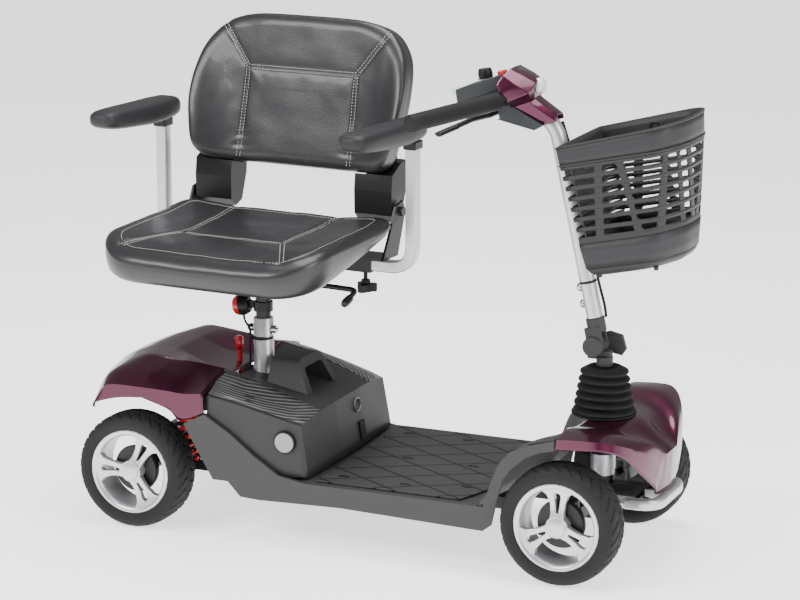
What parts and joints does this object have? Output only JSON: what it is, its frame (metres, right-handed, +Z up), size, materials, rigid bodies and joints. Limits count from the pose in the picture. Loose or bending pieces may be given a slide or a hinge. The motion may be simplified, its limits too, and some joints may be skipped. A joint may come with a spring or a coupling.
{
  "type": "mobility scooter",
  "caption": "Folding four-wheeled mobility scooter with a swivel seat, tilting steering tiller, lift-out battery box, front basket and sprung rear axle.",
  "frame": {"origin": "on the ground under the middle of the scooter's length and on its centre plane", "axes": "+X forwards towards the front wheels, +Y to the rider's left when the seat faces forwards, +Z up"},
  "size_m": [1.1306, 0.5216, 0.9045],
  "materials": {
    "burgundy_gloss": "gloss metallic",
    "dark_grey_plastic": "matt",
    "black_plastic": "satin",
    "black_rubber": "matt",
    "tyre_rubber": "matt",
    "silver_paint": "satin metallic",
    "black_steel": "satin",
    "chrome": "polished",
    "leatherette": "soft sheen",
    "red_plastic": "gloss",
    "clear_plastic": "clear"
  },
  "bodies": {
    "chassis": {"rear_frame": "black_steel", "front_frame": "black_steel", "deck": "dark_grey_plastic", "deck_mat": "black_rubber", "rear_cover": "burgundy_gloss", "front_shroud": "burgundy_gloss", "bumper": "silver_paint", "steering_boot": "black_rubber", "seat_post_tube": "silver_paint", "seat_post": "black_steel", "seat_post_bolt": "chrome", "rear_light": "red_plastic", "light_cable": "black_rubber", "controller": "silver_paint"},
    "rear_axle": {"transaxle": "black_steel", "rear_spring_left": "red_plastic", "rear_spring_right": "red_plastic"},
    "rear_wheel_left": {"tyre_rear_left": "tyre_rubber", "rim_rear_left": "silver_paint"},
    "rear_wheel_right": {"tyre_rear_right": "tyre_rubber", "rim_rear_right": "silver_paint"},
    "front_wheel_left": {"tyre_front_left": "tyre_rubber", "rim_front_left": "silver_paint"},
    "front_wheel_right": {"tyre_front_right": "tyre_rubber", "rim_front_right": "silver_paint"},
    "steering_column": {"steering_shaft": "black_steel", "tiller_knuckle": "dark_grey_plastic"},
    "front_knuckle_left": {"knuckle_left": "black_steel"},
    "front_knuckle_right": {"knuckle_right": "black_steel"},
    "track_rod_left": {"tie_rod_left": "black_steel"},
    "track_rod_right": {"tie_rod_right": "black_steel"},
    "tiller": {"tiller_fork": "dark_grey_plastic", "tiller_tube": "silver_paint", "head_base": "dark_grey_plastic", "head_cover": "burgundy_gloss", "headlight": "clear_plastic", "grip_left": "black_rubber", "grip_right": "black_rubber"},
    "tilt_clamp": {"clamp_lever": "dark_grey_plastic"},
    "throttle": {"throttle_lever": "black_plastic"},
    "speed_knob": {"speed_dial": "black_plastic"},
    "ignition_key": {"key": "chrome"},
    "horn": {"horn_button": "red_plastic"},
    "front_basket": {"basket": "black_plastic"},
    "battery": {"battery_case": "dark_grey_plastic", "battery_pack": "black_plastic"},
    "charge_port_flap": {"charge_flap": "black_rubber"},
    "freewheel_control": {"freewheel_lever": "red_plastic"},
    "seat_slide": {"seat_bush": "black_plastic"},
    "seat": {"seat_frame": "black_steel", "cushion": "leatherette"},
    "swivel_release": {"swivel_lever": "black_steel"},
    "backrest": {"backrest_pad": "leatherette", "backrest_shell": "black_plastic"},
    "armrest_left": {"armrest_tube_left": "silver_paint"},
    "armrest_right": {"armrest_tube_right": "silver_paint"},
    "arm_pad_left": {"armrest_pad_left": "black_plastic"},
    "arm_pad_right": {"armrest_pad_right": "black_plastic"},
    "arm_knob_left": {"armrest_knob_left": "black_plastic"},
    "arm_knob_right": {"armrest_knob_right": "black_plastic"}
  },
  "joints": [
    {"name": "rear_suspension", "type": "hinge", "parent": "chassis", "child": "rear_axle", "pos_m": [-0.257, 0, 0.096], "axis": [0, 1, 0], "range_deg": [-3, 5], "stiffness_Nm_per_rad": 2500, "springref_deg": -1.72, "deforming": ["rear_spring_left", "rear_spring_right"]},
    {"name": "rear_wheel_left_roll", "type": "hinge", "parent": "rear_axle", "child": "rear_wheel_left", "pos_m": [-0.433, 0.188, 0.1075], "axis": [0, 1, 0], "continuous": true},
    {"name": "rear_wheel_right_roll", "type": "hinge", "parent": "rear_axle", "child": "rear_wheel_right", "pos_m": [-0.433, -0.188, 0.1075], "axis": [0, 1, 0], "continuous": true},
    {"name": "steer", "type": "hinge", "parent": "chassis", "child": "steering_column", "pos_m": [0.405, 0, 0.2], "axis": [0, 0, 1], "range_deg": [-26, 26]},
    {"name": "knuckle_left_steer", "type": "hinge", "parent": "chassis", "child": "front_knuckle_left", "pos_m": [0.397, 0.132, 0.1075], "axis": [0, 0, 1], "range_deg": [-26, 26]},
    {"name": "track_rod_left_pivot", "type": "hinge", "parent": "steering_column", "child": "track_rod_left", "pos_m": [0.349, 0, 0.075], "axis": [0, 0, 1], "range_deg": [-26, 26]},
    {"name": "front_wheel_left_roll", "type": "hinge", "parent": "front_knuckle_left", "child": "front_wheel_left", "pos_m": [0.397, 0.188, 0.1075], "axis": [0, 1, 0], "continuous": true},
    {"name": "knuckle_right_steer", "type": "hinge", "parent": "chassis", "child": "front_knuckle_right", "pos_m": [0.397, -0.132, 0.1075], "axis": [0, 0, 1], "range_deg": [-26, 26]},
    {"name": "track_rod_right_pivot", "type": "hinge", "parent": "steering_column", "child": "track_rod_right", "pos_m": [0.349, 0, 0.075], "axis": [0, 0, 1], "range_deg": [-26, 26]},
    {"name": "front_wheel_right_roll", "type": "hinge", "parent": "front_knuckle_right", "child": "front_wheel_right", "pos_m": [0.397, -0.188, 0.1075], "axis": [0, 1, 0], "continuous": true},
    {"name": "tiller_tilt", "type": "hinge", "parent": "steering_column", "child": "tiller", "pos_m": [0.388, 0, 0.38], "axis": [0, 1, 0], "range_deg": [-8, 12]},
    {"name": "tilt_clamp_turn", "type": "hinge", "parent": "tiller", "child": "tilt_clamp", "pos_m": [0.388, 0.025, 0.38], "axis": [0, 1, 0], "range_deg": [-60, 0]},
    {"name": "throttle_squeeze", "type": "hinge", "parent": "tiller", "child": "throttle", "pos_m": [0.1952, 0, 0.78141], "axis": [-0.2105, 0, 0.9776], "range_deg": [-8, 8], "stiffness_Nm_per_rad": 0.8},
    {"name": "speed_dial_turn", "type": "hinge", "parent": "tiller", "child": "speed_knob", "pos_m": [0.17523, 0, 0.84565], "axis": [-0.2105, 0, 0.9776], "range_deg": [0, 270]},
    {"name": "key_turn", "type": "hinge", "parent": "tiller", "child": "ignition_key", "pos_m": [0.1307, 0.024, 0.81489], "axis": [-0.9891, 0, -0.1475], "range_deg": [0, 90]},
    {"name": "horn_press", "type": "slide", "parent": "tiller", "child": "horn", "axis": [0.2105, 0, -0.9776], "range_m": [0, 0.002], "stiffness_N_per_m": 300},
    {"name": "basket_lift_off", "type": "slide", "parent": "tiller", "child": "front_basket", "axis": [-0.2105, 0, 0.9776], "range_m": [0, 0.08]},
    {"name": "battery_lift_out", "type": "slide", "parent": "chassis", "child": "battery", "axis": [0, 0, 1], "range_m": [0, 0.1]},
    {"name": "charge_flap_open", "type": "hinge", "parent": "battery", "child": "charge_port_flap", "pos_m": [-0.0827, 0.042, 0.1766], "axis": [0, 1, 0], "range_deg": [-90, 0]},
    {"name": "freewheel_throw", "type": "hinge", "parent": "chassis", "child": "freewheel_control", "pos_m": [-0.32, 0.012, 0.236], "axis": [0, 1, 0], "range_deg": [-30, 0]},
    {"name": "seat_lift_off", "type": "slide", "parent": "chassis", "child": "seat_slide", "axis": [0, 0, 1], "range_m": [0, 0.08]},
    {"name": "seat_swivel", "type": "hinge", "parent": "seat_slide", "child": "seat", "pos_m": [-0.264, 0, 0.45], "axis": [0, 0, 1], "continuous": true},
    {"name": "swivel_release_pull", "type": "hinge", "parent": "seat", "child": "swivel_release", "pos_m": [-0.23962, -0.00972, 0.444], "axis": [0.9976, -0.0698, 0], "range_deg": [-20, 0], "stiffness_Nm_per_rad": 1.5, "springref_deg": 5.73},
    {"name": "backrest_fold", "type": "hinge", "parent": "seat", "child": "backrest", "pos_m": [-0.25493, 0.12968, 0.563], "axis": [0.9976, -0.0698, 0], "range_deg": [0, 60]},
    {"name": "armrest_left_width", "type": "slide", "parent": "seat", "child": "armrest_left", "axis": [0.9976, -0.0698, 0], "range_m": [0, 0.05]},
    {"name": "armrest_left_fold", "type": "hinge", "parent": "armrest_left", "child": "arm_pad_left", "pos_m": [0.00334, 0.08155, 0.72], "axis": [0.9976, -0.0698, 0], "range_deg": [-90, 0]},
    {"name": "armrest_left_knob_turn", "type": "hinge", "parent": "seat", "child": "arm_knob_left", "pos_m": [-0.09027, 0.07607, 0.423], "axis": [0, 0, 1], "continuous": true},
    {"name": "armrest_right_width", "type": "slide", "parent": "seat", "child": "armrest_right", "axis": [-0.9976, 0.0698, 0], "range_m": [0, 0.05]},
    {"name": "armrest_right_fold", "type": "hinge", "parent": "armrest_right", "child": "arm_pad_right", "pos_m": [-0.51739, 0.11796, 0.72], "axis": [0.9976, -0.0698, 0], "range_deg": [-90, 0]},
    {"name": "armrest_right_knob_turn", "type": "hinge", "parent": "seat", "child": "arm_knob_right", "pos_m": [-0.42545, 0.0995, 0.423], "axis": [0, 0, 1], "continuous": true}
  ],
  "couplings": [
    {"joint": "knuckle_left_steer", "follows": "steer", "ratio": 1},
    {"joint": "knuckle_right_steer", "follows": "steer", "ratio": 1},
    {"joint": "track_rod_left_pivot", "follows": "steer", "ratio": -1},
    {"joint": "track_rod_right_pivot", "follows": "steer", "ratio": -1}
  ]
}
